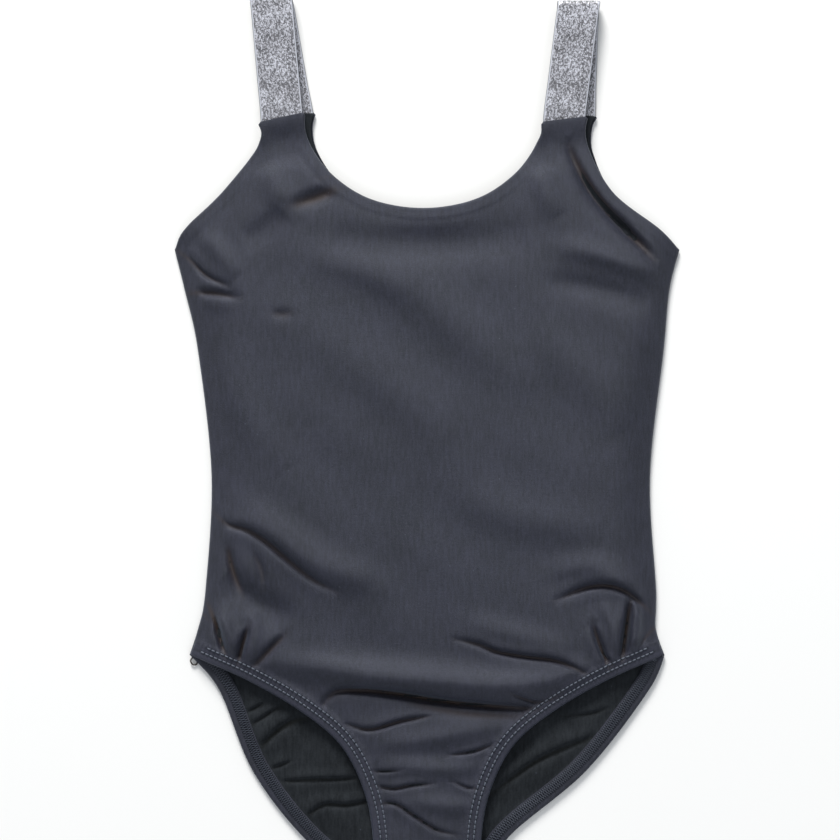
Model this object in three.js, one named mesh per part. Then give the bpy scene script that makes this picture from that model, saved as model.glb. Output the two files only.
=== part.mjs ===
// Camisole gymnastics leotard, lying on its back with the front up.
// Two layers of stretch cloth, elastic bound into every edge, and two flat
// elastic shoulder straps that run from the front tabs to the back tabs.
// Millimetres, +Z up, +Y towards the shoulders, +X towards the wearer's left.

import * as THREE from 'three';

// ---- cloth and elastic, thicknesses through the stack -----------------------
const shellThickness = 0.7;
const liningThickness = 0.5;
const gussetThickness = 0.6;
const edgeElasticThickness = 0.9;
const strapThickness = 1.2;
const threadThickness = 0.3;
const plyGap = 0.3;
const bodyCavity = 5.0;

// ---- widths of what is sewn in ---------------------------------------------
const strapWidth = 25;
const strapTail = 15;
const legElasticWidth = 9.5;
const topElasticWidth = 6;
const seamAllowance = 6;
const edgeTurn = 1;
const needleRowInset = 4.7;
const needleRowSpacing = 3.5;
const needleRowWidth = 0.6;
const looperWidth = 5.5;

// ---- pattern: half widths from the centre line, and heights -----------------
const underarm = { half: 149.9, y: 116 };
const chest = { half: 144, y: 92 };
const rib = { half: 138.4, y: 56.5 };
const waist = { half: 130.3, y: -18 };
const hip = { half: 133.9, y: -86 };
const seat = { half: 135.8, y: -108 };
const legNotch = { half: 141, y: -124.6 };
const crotch = { half: 32, y: -266.6 };
const gussetLength = 96;
const sideDrift = 2.2;

// ---- shoulder tabs and neckline ---------------------------------------------
const tabEase = 1.25;
const tabWidth = strapWidth + 2 * tabEase;
const tabTop = 194.3;
const tabCentre = 83.6;
const frontTabDrift = -2.4;
const backTabDrift = 3.6;
const tabDrop = 16;
const tabSway = 28;
const frontNeck = 140.4;
const backNeck = 131;
const neckTab = { inset: 1.5, drop: 13 };
const neckShoulder = { inset: 15, drop: 33 };
const neckScoop = { inset: 38.4, rise: 5.5 };

// ---- curved edges: shares of the way across and down from start to end ------
const frontLegScoop = [[0.294, 0.094], [0.601, 0.229], [0.826, 0.376], [0.954, 0.573], [1, 0.773]];

// ---- each side as it lies: its strap, its armhole and its back leg edge ------
const sides = [
  {
    side: 'right',
    sign: -1,
    strapReach: 72.3,
    strapLean: -6.4,
    armholeScoop: [[0.43, 0.566], [0.88, 0.848]],
    backLegScoop: [[0.163, 0.149], [0.344, 0.484], [0.633, 0.773]],
  },
  {
    side: 'left',
    sign: 1,
    strapReach: 68.6,
    strapLean: 8.6,
    armholeScoop: [[0.274, 0.566], [0.786, 0.848]],
    backLegScoop: [[0.087, 0.149], [0.426, 0.484], [0.862, 0.773]],
  },
];
const mouthGap = 0.3;

// ---- drawing fineness -------------------------------------------------------
const stepLength = 9;
const bendSteps = 8;

// ---- heights of the plies, from the surface it lies on ----------------------
const sandwich = strapThickness + 2 * plyGap;
const backShellTop = shellThickness;
const backLiningBottom = backShellTop + sandwich;
const backLiningTop = backLiningBottom + liningThickness;
const frontLiningBottom = backLiningTop + bodyCavity;
const frontLiningTop = frontLiningBottom + liningThickness;
const frontShellBottom = frontLiningTop + sandwich;
const frontShellTop = frontShellBottom + shellThickness;
const gussetBottom = frontLiningBottom - plyGap - gussetThickness;

// ---- colours ----------------------------------------------------------------
const charcoal = cloth(0x40424e, 0.62);
const charcoalInside = cloth(0x2d3035, 0.85);
const elasticGrey = cloth(0x3a3a40, 0.8);
const threadGrey = cloth(0x55586a, 0.5);
const silverGlitter = cloth(0x9c9da3, 0.35, 0.4);

function cloth(color, roughness, metalness = 0) {
  return new THREE.MeshStandardMaterial({ color, roughness, metalness });
}

// A point of the pattern on the wearer's right (sign -1) or left (sign 1).
function onSide(sign, half, y) {
  return new THREE.Vector2(sign * half, y);
}

// A smooth seam line through its pattern points, stepped evenly.
function seamLine(points) {
  const curve = new THREE.SplineCurve(points);
  return curve.getSpacedPoints(Math.ceil(curve.getLength() / stepLength));
}

// The points of a curved edge between its two ends.
function between(start, end, shares) {
  return shares.map(([across, down]) => new THREE.Vector2(
    THREE.MathUtils.lerp(start.x, end.x, across), THREE.MathUtils.lerp(start.y, end.y, down)));
}

// Side seam, from the underarm down to the top of the leg opening.
function sideLine(sign) {
  const drifted = [rib, waist, hip].map(({ half, y }) => new THREE.Vector2(sign * half + sideDrift, y));
  return seamLine([
    onSide(sign, underarm.half, underarm.y),
    onSide(sign, chest.half, chest.y),
    ...drifted,
    onSide(sign, seat.half, seat.y),
    onSide(sign, legNotch.half, legNotch.y),
  ]);
}

// A point as it lies: a tab drifts sideways, and both faces lie alike below the tabs.
function lying(point, tabDrift) {
  const share = Math.max(0, 1 - (tabTop - point.y) / tabSway);
  const drift = THREE.MathUtils.lerp(frontTabDrift, tabDrift, share);
  return new THREE.Vector2(point.x + drift, point.y);
}

// Armhole, from the outer corner of the shoulder tab to the underarm.
function armholeLine({ sign, armholeScoop }, tabDrift) {
  const [corner, foot] = [tabTop, tabTop - tabDrop].map((y) => onSide(sign, tabCentre + tabWidth / 2, y));
  const end = onSide(sign, underarm.half, underarm.y);
  return seamLine([
    lying(corner, tabDrift),
    lying(foot, tabDrift),
    ...between(lying(corner, frontTabDrift), end, armholeScoop),
    end,
  ]);
}

// Neckline, from the inner corner of the right tab to that of the left tab.
function neckLine(lowest, tabDrift) {
  const corner = new THREE.Vector2(tabCentre - tabWidth / 2, tabTop);
  const rightHalf = [
    corner,
    new THREE.Vector2(corner.x - neckTab.inset, tabTop - neckTab.drop),
    new THREE.Vector2(corner.x - neckShoulder.inset, tabTop - neckShoulder.drop),
    new THREE.Vector2(corner.x - neckScoop.inset, lowest + neckScoop.rise),
  ].map((point) => new THREE.Vector2(-point.x, point.y));
  const leftHalf = rightHalf.map((point) => new THREE.Vector2(-point.x, point.y)).reverse();
  const points = [...rightHalf, new THREE.Vector2(0, lowest), ...leftHalf];
  return seamLine(points.map((point) => lying(point, tabDrift)));
}

// Front leg edge: a high scoop from the hip to the narrow crotch strip.
function frontLegLine({ sign }) {
  return legLine(sign, frontLegScoop);
}

// Back leg edge: it covers the seat, and lies a little turned to the right.
function backLegLine({ sign, backLegScoop }) {
  return legLine(sign, backLegScoop);
}

function legLine(sign, scoop) {
  const start = onSide(sign, legNotch.half, legNotch.y);
  const end = onSide(sign, crotch.half, crotch.y);
  return seamLine([start, ...between(start, end, scoop), end]);
}

// A closed outline, counterclockwise, from the lines of its edges.
function panelOutline(legEdge, neckLowest, tabDrift) {
  const [rightEdge, leftEdge] = sides.map((side) => [
    ...armholeLine(side, tabDrift),
    ...sideLine(side.sign).slice(1),
    ...legEdge(side).slice(1),
  ]);
  return [
    ...rightEdge,
    ...leftEdge.reverse(),
    ...neckLine(neckLowest, tabDrift).reverse(),
  ];
}

// The direction square to a line at one of its points, to the left of travel.
function leftNormal(points, index, closed) {
  const count = points.length;
  const before = closed ? points[(index + count - 1) % count] : points[Math.max(index - 1, 0)];
  const after = closed ? points[(index + 1) % count] : points[Math.min(index + 1, count - 1)];
  const along = after.clone().sub(before).normalize();
  return new THREE.Vector2(-along.y, along.x);
}

function offsetLine(points, distance, closed = false) {
  return points.map((point, index) =>
    point.clone().addScaledVector(leftNormal(points, index, closed), distance));
}

// The part of a line that is left after trimming a length from each end.
function trimmed(points, fromStart, fromEnd) {
  const path = new THREE.CurvePath();
  points.slice(1).forEach((point, index) => path.add(new THREE.LineCurve(points[index], point)));
  const length = path.getLength();
  const kept = length - fromStart - fromEnd;
  const steps = Math.ceil(kept / stepLength);
  return Array.from({ length: steps + 1 }, (_, index) =>
    path.getPointAt((fromStart + kept * index / steps) / length));
}

// A flat piece with the given outline between two heights.
function slab(outline, bottom, top) {
  const geometry = new THREE.ExtrudeGeometry(new THREE.Shape(outline), {
    depth: top - bottom,
    bevelEnabled: false,
  });
  return geometry.translate(0, 0, bottom);
}

// A strip of even width that follows an edge, set in from it.
function strip(line, side, inset, width, bottom, top) {
  const near = offsetLine(line, side * inset);
  const far = offsetLine(line, side * (inset + width));
  return slab([...near, ...far.reverse()], bottom, top);
}

const leotard = new THREE.Group();

function piece(name, geometry, material) {
  const mesh = new THREE.Mesh(geometry, material);
  mesh.name = name;
  leotard.add(mesh);
  return mesh;
}

// ---- outer shell and lining, front and back ---------------------------------
const frontOutline = panelOutline(frontLegLine, frontNeck, frontTabDrift);
const backOutline = panelOutline(backLegLine, backNeck, backTabDrift);

piece('back_panel', slab(backOutline, 0, backShellTop), charcoal.clone());
piece('back_lining', slab(offsetLine(backOutline, edgeTurn, true), backLiningBottom, backLiningTop),
  charcoalInside.clone());
piece('front_lining', slab(offsetLine(frontOutline, edgeTurn, true), frontLiningBottom, frontLiningTop),
  charcoalInside.clone());
piece('front_panel', slab(frontOutline, frontShellBottom, frontShellTop), charcoal.clone());

// ---- gusset: the extra ply inside the crotch --------------------------------
const gussetEdge = frontLegLine({ sign: 1 }).filter((point) => point.y < crotch.y + gussetLength);
const gussetOutline = [
  ...offsetLine(gussetEdge, -2 * edgeTurn),
  ...offsetLine(gussetEdge, -2 * edgeTurn).reverse().map((point) => new THREE.Vector2(-point.x, point.y)),
].reverse();
piece('crotch_gusset', slab(gussetOutline, gussetBottom, gussetBottom + gussetThickness),
  charcoalInside.clone());

// ---- seams that close the body: both sides and the crotch -------------------
for (const { side, sign } of sides) {
  const line = trimmed(sideLine(sign), seamAllowance / 2, seamAllowance);
  piece(`side_seam_${side}`,
    strip(line, -sign, edgeTurn, seamAllowance, backLiningTop + plyGap, frontLiningBottom - plyGap),
    charcoalInside.clone());
}
const crotchSeam = [-1, 1].map((sign) => onSide(sign, crotch.half - edgeTurn, crotch.y));
piece('crotch_seam',
  strip(crotchSeam, 1, edgeTurn, seamAllowance, backLiningTop + plyGap, gussetBottom - plyGap),
  charcoalInside.clone());

// ---- elastic in the edges, and the stitching of the leg edges ---------------
const faces = [
  { face: 'front', bottom: frontLiningTop, drift: frontTabDrift, lowest: frontNeck, leg: frontLegLine },
  { face: 'back', bottom: backShellTop, drift: backTabDrift, lowest: backNeck, leg: backLegLine },
];
for (const { face, bottom, drift, lowest, leg } of faces) {
  const low = bottom + plyGap;
  const high = low + edgeElasticThickness;
  const besideStrap = strapTail + plyGap + edgeTurn;

  const neck = trimmed(neckLine(lowest, drift), besideStrap, besideStrap);
  piece(`neck_elastic_${face}`, strip(neck, -1, edgeTurn, topElasticWidth, low, high),
    elasticGrey.clone());

  for (const edges of sides) {
    const { side, sign } = edges;
    const armhole = trimmed(armholeLine(edges, drift), besideStrap, topElasticWidth);
    piece(`armhole_elastic_${side}_${face}`,
      strip(armhole, -sign, edgeTurn, topElasticWidth, low, high), elasticGrey.clone());

    const legEdge = trimmed(leg(edges), legElasticWidth, edgeTurn);
    piece(`leg_elastic_${side}_${face}`,
      strip(legEdge, -sign, edgeTurn, legElasticWidth, low, high), elasticGrey.clone());

    if (face === 'front') {
      const onTop = frontShellTop + plyGap;
      ['outer', 'inner'].forEach((row, index) => {
        const inset = needleRowInset + index * needleRowSpacing;
        piece(`leg_needle_thread_${row}_${side}`,
          strip(legEdge, -sign, inset, needleRowWidth, onTop, onTop + threadThickness),
          threadGrey.clone());
      });
    } else {
      const inside = backLiningTop + plyGap;
      piece(`leg_looper_thread_${side}`,
        strip(trimmed(leg(edges), legElasticWidth, 2 * seamAllowance), -sign, needleRowInset - edgeTurn,
          looperWidth, inside, inside + threadThickness), threadGrey.clone());
    }
  }
}

// ---- straps: one length of elastic each, its two ends sewn into the tabs ----
const frontStrapBottom = frontLiningTop + plyGap;
const backStrapBottom = backShellTop + plyGap;
const frontStrapTop = frontStrapBottom + strapThickness;

for (const { side, sign, strapReach, strapLean } of sides) {
  for (const { face, bottom, drift } of faces) {
    const tail = new THREE.BoxGeometry(strapWidth, strapTail, strapThickness);
    tail.translate(sign * tabCentre, tabTop - strapTail / 2, bottom + plyGap + strapThickness / 2);
    const corners = tail.getAttribute('position');
    for (let index = 0; index < corners.count; index += 1) {
      corners.setX(index, lying(new THREE.Vector3().fromBufferAttribute(corners, index), drift).x);
    }
    tail.computeVertexNormals();
    piece(`strap_end_${side}_${face}`, tail, silverGlitter.clone());
  }

  // The loop seen from the side: up from the back tab, over the fold, and down to the front tab.
  const outerRadius = (frontStrapTop - backStrapBottom) / 2;
  const middle = backStrapBottom + outerRadius;
  const start = tabTop + mouthGap;
  const fold = tabTop + strapReach - outerRadius;
  const profile = new THREE.Shape();
  profile.moveTo(start, backStrapBottom);
  profile.lineTo(fold, backStrapBottom);
  profile.absarc(fold, middle, outerRadius, -Math.PI / 2, Math.PI / 2, false);
  profile.lineTo(start, frontStrapTop);
  profile.lineTo(start, frontStrapBottom);
  profile.lineTo(fold, frontStrapBottom);
  profile.absarc(fold, middle, outerRadius - strapThickness, Math.PI / 2, -Math.PI / 2, true);
  profile.lineTo(start, backStrapBottom + strapThickness);
  const loop = new THREE.ExtrudeGeometry(profile, {
    depth: strapWidth,
    curveSegments: bendSteps,
    bevelEnabled: false,
  });
  loop.applyMatrix4(new THREE.Matrix4().makeBasis(
    new THREE.Vector3(0, 1, 0), new THREE.Vector3(0, 0, 1), new THREE.Vector3(1, 0, 0)));
  layStrap(loop, sign, strapReach, strapLean);
  piece(`strap_${side}`, loop, silverGlitter.clone());
}

// Each leg of a strap starts over its own tab, and both lean to the fold.
function layStrap(loop, sign, reach, lean) {
  const place = loop.attributes.position;
  for (let index = 0; index < place.count; index += 1) {
    const along = (place.getY(index) - tabTop) / reach;
    const down = (frontStrapTop - place.getZ(index)) / (frontStrapTop - backStrapBottom);
    const tabShift = frontTabDrift + (backTabDrift - frontTabDrift) * down * (1 - along);
    place.setX(index, place.getX(index) - strapWidth / 2 + sign * tabCentre + tabShift + lean * along);
  }
}

// ---- the loose thread end at the foot of the right side seam ----------------
const threadRadius = 0.3;
const seamFoot = trimmed(sideLine(-1), seamAllowance / 2, seamAllowance).at(-1);
const threadHeight = (backLiningTop + frontLiningBottom) / 2;
const threadPath = new THREE.CatmullRomCurve3([
  [3.5, -1.9], [2.5, -4.6], [4.5, -7.9], [7.5, -7.4], [7.0, -4.6],
].map(([x, y]) => new THREE.Vector3(seamFoot.x + x, seamFoot.y + y, threadHeight)));
const threadSection = new THREE.Shape().absarc(0, 0, threadRadius, 0, 2 * Math.PI, false);
piece('thread_end', new THREE.ExtrudeGeometry(threadSection, {
  steps: 12,
  curveSegments: 6,
  extrudePath: threadPath,
}), threadGrey.clone());

export default leotard;
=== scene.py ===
"""A child's camisole leotard of two cloth layers, laid flat on its back with the front up."""

import bpy
import numpy as np
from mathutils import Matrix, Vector
from mathutils.geometry import delaunay_2d_cdt


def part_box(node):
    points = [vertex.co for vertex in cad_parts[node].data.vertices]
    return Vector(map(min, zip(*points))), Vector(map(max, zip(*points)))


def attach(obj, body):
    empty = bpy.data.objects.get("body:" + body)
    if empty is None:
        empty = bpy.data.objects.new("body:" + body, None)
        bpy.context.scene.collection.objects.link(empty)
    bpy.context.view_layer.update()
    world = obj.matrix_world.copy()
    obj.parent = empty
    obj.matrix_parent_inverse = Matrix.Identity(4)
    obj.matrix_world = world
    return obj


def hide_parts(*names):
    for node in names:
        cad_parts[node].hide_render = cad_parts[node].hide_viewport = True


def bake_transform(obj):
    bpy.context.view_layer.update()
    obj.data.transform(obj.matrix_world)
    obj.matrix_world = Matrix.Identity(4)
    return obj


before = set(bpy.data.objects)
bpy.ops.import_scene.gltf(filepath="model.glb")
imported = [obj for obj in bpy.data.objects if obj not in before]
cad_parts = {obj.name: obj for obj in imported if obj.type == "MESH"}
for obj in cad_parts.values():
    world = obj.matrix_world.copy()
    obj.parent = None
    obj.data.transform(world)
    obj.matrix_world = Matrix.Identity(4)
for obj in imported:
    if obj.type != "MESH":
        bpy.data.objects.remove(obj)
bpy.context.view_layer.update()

# ---------------------------------------------------------------------------
# The view. A plain pale floor under soft light from past the shoulders, and
# a camera straight above the leotard.
# ---------------------------------------------------------------------------
MM = 0.001
VIEW_CENTRE = (-4.2 * MM, 14.9 * MM)
VIEW_WIDTH = 499.8 * MM
VIEW_HEIGHT = 1.3
SENSOR = 36.0
FLOOR_SIZE = 6.0


def make_camera():
    data = bpy.data.cameras.new("camera")
    data.sensor_width = SENSOR
    data.lens = SENSOR * VIEW_HEIGHT / VIEW_WIDTH
    camera = bpy.data.objects.new("camera", data)
    camera.location = (*VIEW_CENTRE, VIEW_HEIGHT)
    bpy.context.scene.collection.objects.link(camera)
    bpy.context.scene.camera = camera


def soft_light(name, place, size, power, colour):
    data = bpy.data.lights.new(name, "AREA")
    data.shape = "DISK"
    data.size = size
    data.energy = power
    data.color = colour
    lamp = bpy.data.objects.new(name, data)
    lamp.location = place
    lamp.rotation_euler = (-Vector(place)).to_track_quat("-Z", "Y").to_euler()
    bpy.context.scene.collection.objects.link(lamp)


def make_floor():
    half = FLOOR_SIZE / 2
    corners = [(-half, -half, 0), (half, -half, 0), (half, half, 0), (-half, half, 0)]
    mesh = bpy.data.meshes.new("floor")
    mesh.from_pydata(corners, [], [(0, 1, 2, 3)])
    paper = bpy.data.materials.new("pale paper")
    paper.use_nodes = True
    surface = paper.node_tree.nodes["Principled BSDF"]
    surface.inputs["Base Color"].default_value = (0.86, 0.86, 0.85, 1)
    surface.inputs["Roughness"].default_value = 0.9
    mesh.materials.append(paper)
    floor = bpy.data.objects.new("floor", mesh)
    bpy.context.scene.collection.objects.link(floor)


make_camera()
make_floor()
soft_light("window", (-0.7, 3.4, 1.8), 1.5, 215, (1.0, 0.985, 0.96))
soft_light("room", (0.6, -1.3, 1.6), 1.6, 4, (0.86, 0.93, 1.0))
world = bpy.data.worlds.new("studio")
world.use_nodes = True
world.node_tree.nodes["Background"].inputs["Color"].default_value = (0.93, 0.96, 1.0, 1)
world.node_tree.nodes["Background"].inputs["Strength"].default_value = 0.55
bpy.context.scene.world = world
bpy.context.scene.view_settings.view_transform = "Standard"

# ---------------------------------------------------------------------------
# The cut pieces. The body is a front and a back, sewn together at the sides
# and the crotch. Each piece's edge lines come from its flat ply in the frame.
# ---------------------------------------------------------------------------
STITCH_PITCH = 2.8
EDGE_STEP = STITCH_PITCH / 2


def ply_outline(node):
    """The outline of a flat ply, counterclockwise, in millimetres."""
    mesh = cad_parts[node].data
    corner = np.array([vertex.co for vertex in mesh.vertices]) / MM
    top = corner[:, 2].max()
    sides = set()
    for polygon in mesh.polygons:
        ring = [tuple(np.round(corner[i], 2)) for i in polygon.vertices]
        if min(point[2] for point in ring) > top - 0.05:
            flat = [point[:2] for point in ring]
            sides |= set(zip(flat, flat[1:] + flat[:1]))
    follow = {a: b for a, b in sides if (b, a) not in sides}
    walk = [min(follow)]
    while follow[walk[-1]] != walk[0]:
        walk.append(follow[walk[-1]])
    return np.array(walk)


def evenly(points, step):
    """A smooth curve through the points, as an even number of equal steps."""
    ends = np.vstack([2 * points[0] - points[1], points, 2 * points[-1] - points[-2]])
    t = np.linspace(0, 1, 24, endpoint=False)[:, None]
    spans = []
    for a, b, c, d in zip(ends, ends[1:], ends[2:], ends[3:]):
        bend = (2 * a - 5 * b + 4 * c - d) * t + (3 * b - a - 3 * c + d) * t * t
        spans.append(b + 0.5 * t * (c - a + bend))
    dense = np.vstack(spans + [points[-1:]])
    length = np.concatenate([[0], np.cumsum(np.linalg.norm(np.diff(dense, axis=0), axis=1))])
    count = 2 * max(1, round(length[-1] / step / 2))
    at = np.linspace(0, length[-1], count + 1)
    return np.stack([np.interp(at, length, dense[:, axis]) for axis in range(dense.shape[1])], 1)


def project(line, points):
    """How far the points are from a line, to its left, and how far along it they are."""
    best = np.full(len(points), 1e9)
    off = np.zeros(len(points))
    along = np.zeros(len(points))
    step = np.diff(line, axis=0)
    size = np.maximum(np.linalg.norm(step, axis=1), 1e-9)
    for index, (start, move) in enumerate(zip(line, step)):
        move = move / size[index]
        away = points - start
        t = np.clip(away @ move, 0, size[index])
        gap = away - t[:, None] * move
        distance = np.hypot(gap[:, 0], gap[:, 1])
        closer = distance < best
        side = np.sign(move[0] * away[:, 1] - move[1] * away[:, 0])
        best = np.where(closer, distance, best)
        off = np.where(closer, distance * side, off)
        along = np.where(closer, (index + t / size[index]) / len(step), along)
    return off, along


def smooth(t):
    t = np.clip(t, 0, 1)
    return t * t * (3 - 2 * t)


TAB_CORNER = 1.5
TAB_LENGTH = 16.0
TAB_CENTRE = 84.0


class CutPiece:
    """A cut piece of the body: its edge lines, counterclockwise, and what lies near them."""

    names = ["armhole_right", "side_right", "leg_right", "crotch", "leg_left", "side_left",
             "armhole_left", "tab_left", "neck", "tab_right"]

    def __init__(self, node, tab_slopes, tab_rises):
        loop = ply_outline(node)
        x, y = loop.T
        tops = sorted(np.flatnonzero(y > y.max() - 0.5), key=lambda i: x[i])
        hips = np.flatnonzero((y < -100) & (y > -140))
        feet = sorted(np.flatnonzero(y < y.min() + 0.5), key=lambda i: x[i])
        corners = [tops[0], x.argmin(), hips[x[hips].argmin()], feet[0], feet[-1],
                   hips[x[hips].argmax()], x.argmax(), tops[3], tops[2], tops[1]]
        self.lines = {}
        for name, start, end in zip(self.names, corners, corners[1:] + corners[:1]):
            ring = np.arange(start, end + 1 if end > start else end + len(loop) + 1) % len(loop)
            line = evenly(loop[ring], EDGE_STEP)
            self.lines[name] = self.lying(line, name, y.max(), tab_slopes, tab_rises)

    def lying(self, line, name, top, slopes, rises):
        """A line with the tabs' corners rounded, and each tab tilted as it lies."""
        x, y = line.T.copy()
        if name.startswith("tab"):
            near_end = np.clip(1 - np.minimum(x - x.min(), x.max() - x) / TAB_CORNER, 0, 1)
            y = y - TAB_CORNER * (1 - np.sqrt(1 - near_end ** 2))
        else:
            foot = top - 3 * TAB_CORNER
            y = np.where(y > foot, foot + (y - foot) * 2 / 3, y)
        share = smooth((y - top + TAB_LENGTH) / TAB_LENGTH)
        for sign, slope, rise in zip((-1, 1), slopes, rises):
            y = y + share * (np.sign(x) == sign) * (rise + slope * (x - sign * TAB_CENTRE))
        return np.stack([x, y], 1)

    def near(self, points, *names):
        """The distance to the nearest of the named lines."""
        return np.min([abs(project(self.lines[name][::2], points)[0]) for name in names], axis=0)

    def edges(self, points):
        """The distance to each kind of edge."""
        return {
            "side": self.near(points, "side_right", "side_left"),
            "crotch": self.near(points, "crotch"),
            "leg": self.near(points, "leg_right", "leg_left"),
            "armhole": self.near(points, "armhole_right", "armhole_left"),
            "neck": self.near(points, "neck"),
            "tab": self.near(points, "tab_right", "tab_left"),
        }

    def outline(self):
        return np.vstack([self.lines[name][:-1] for name in self.names])

    def inside(self, points, distance):
        """Which points lie within the outline, and at least a distance from it."""
        ring = self.outline()[::2]
        ahead = np.roll(ring, -1, axis=0)
        crossings = np.zeros(len(points), int)
        for (x0, y0), (x1, y1) in zip(ring, ahead):
            straddles = (points[:, 1] < y0) != (points[:, 1] < y1)
            if y0 != y1:
                meets = x0 + (points[:, 1] - y0) * (x1 - x0) / (y1 - y0)
                crossings += straddles & (points[:, 0] < meets)
        return (crossings % 2 == 1) & (self.near(points, *self.names) > distance)


def inset(line, distance, closed=False):
    """The line moved to its left by a distance."""
    if closed:
        along = np.roll(line, -1, axis=0) - np.roll(line, 1, axis=0)
    else:
        along = np.gradient(line, axis=0)
    along /= np.maximum(np.linalg.norm(along, axis=1), 1e-9)[:, None]
    return line + distance * np.stack([-along[:, 1], along[:, 0]], 1)


front = CutPiece("front_panel", tab_slopes=(0.22, 0.12), tab_rises=(0.0, -1.2))
back = CutPiece("back_panel", tab_slopes=(0.0, -0.05), tab_rises=(3.6, 2.6))

# ---------------------------------------------------------------------------
# How the two pieces lie. The front puffs up a few millimetres between its
# seams; its open edges rest on the back, which is nearly flat on the floor.
# ---------------------------------------------------------------------------
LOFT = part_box("front_lining")[1].z / MM + 2.0
TAB_HEIGHT = 5.6
TAB_RISE = 2.8
FRONT_EDGE = {"side": 2.6, "crotch": 3.8, "leg": 7.8, "armhole": 6.4, "neck": 7.8, "tab": 6.0}
FRONT_REACH = {"side": 30, "crotch": 40, "leg": 44, "armhole": 44, "neck": 48, "tab": 44}
FLOOR_GAP = 0.5
BACK_LIFT = 1.3
PLAIN_HALF = 0.6
# Each edge band: its width, half its thickness, and the width over which it thins out.
BAND = {
    "leg": (10.0, 1.35, 1.6),
    "armhole": (6.5, 1.0, 2.4),
    "neck": (6.5, 1.0, 2.4),
    "tab": (18.0, 1.15, 9.0),
}

# Each crease: its route, its width and depth, and the lips of cloth above and below it.
FRONT_CREASES = [
    ([(-61, -153), (-54, -146), (-39, -145), (-19, -147), (12, -152), (44, -155), (68, -156)],
     2.2, 5.4, 1.8, 0.0),
    ([(-12, -152), (18, -158), (44, -160), (60, -160)], 3.0, 1.6, 0.0, 0.3),
    ([(-48, -165), (-34, -168), (-15, -163), (2, -160)], 1.3, 2.2, 0.5, 0.2),
    ([(-129, -38), (-118, -47), (-107, -50), (-95, -57), (-82, -68), (-68, -79), (-55, -86)],
     2.0, 2.2, 1.1, 0.4),
    ([(-118, -60), (-115, -74), (-110, -88)], 2.8, 2.6, 0.6, 0.9),
    ([(-102, -64), (-98, -74), (-97, -83)], 2.2, 0.9, 0.3, 0.4),
    ([(-131, -92), (-125, -106), (-119, -126)], 1.9, 3.8, 2.0, 0.8),
    ([(-106, -108), (-109, -118), (-112, -130)], 1.6, 3.0, 1.2, 1.0),
    ([(-84, -112), (-94, -122), (-104, -132)], 2.1, 2.0, 0.6, 1.0),
    ([(-137, -96), (-132, -101), (-128, -105)], 1.2, 1.2, 0.5, 0.5),
    ([(78, -91), (92, -85), (105, -83), (118, -87), (134, -100)], 1.8, 2.4, 1.3, 0.4),
    ([(18, -115), (31, -118), (41, -122), (58, -125), (74, -127), (86, -131), (97, -137)],
     1.5, 2.4, 0.9, 0.3),
    ([(120, -92), (118, -108), (115, -129)], 1.8, 4.0, 1.6, 1.8),
    ([(98, -106), (102, -118), (108, -133)], 1.5, 2.8, 0.9, 1.3),
    ([(103, -122), (107, -127), (111, -131)], 0.9, 1.4, 0.4, 0.4),
    ([(140, -107), (133, -110), (126, -118)], 1.3, 1.8, 0.7, 0.5),
    ([(49, -146), (58, -150), (67, -152), (80, -147)], 1.2, 1.8, 0.5, 0.3),
    ([(14, -183), (27, -181), (39, -177)], 1.0, 1.6, 0.4, 0.2),
    ([(-32, -193), (-17, -192)], 0.9, 1.2, 0.3, 0.3),
    ([(-33, -201), (-20, -203), (-10, -201), (2, -200)], 1.1, 1.8, 0.5, 0.3),
    ([(16, -199), (26, -203), (37, -202)], 0.9, 1.3, 0.3, 0.3),
    ([(-31, -212), (-19, -212), (-9, -218), (5, -227), (16, -230)], 1.2, 1.7, 0.5, 0.3),
    ([(-145, 90), (-128, 90), (-112, 87)], 2.2, 1.9, 0.5, 0.9),
    ([(-92, 78), (-86, 77), (-79, 78)], 3.0, 0.9, 0.2, 0.2),
    ([(-152, 118), (-141, 110), (-130, 100), (-118, 94)], 1.7, 1.7, 1.1, 0.4),
    ([(84, 178), (88, 168), (97, 152), (110, 136), (128, 117), (134, 110)], 2.9, 4.4, 1.2, 0.3),
    ([(-80, 141), (-66, 146), (-52, 152)], 4.3, 2.6, 0.9, 0.2),
    ([(-66, 157), (-57, 159), (-50, 162)], 1.2, 1.0, 0.5, 0.4),
]
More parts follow.
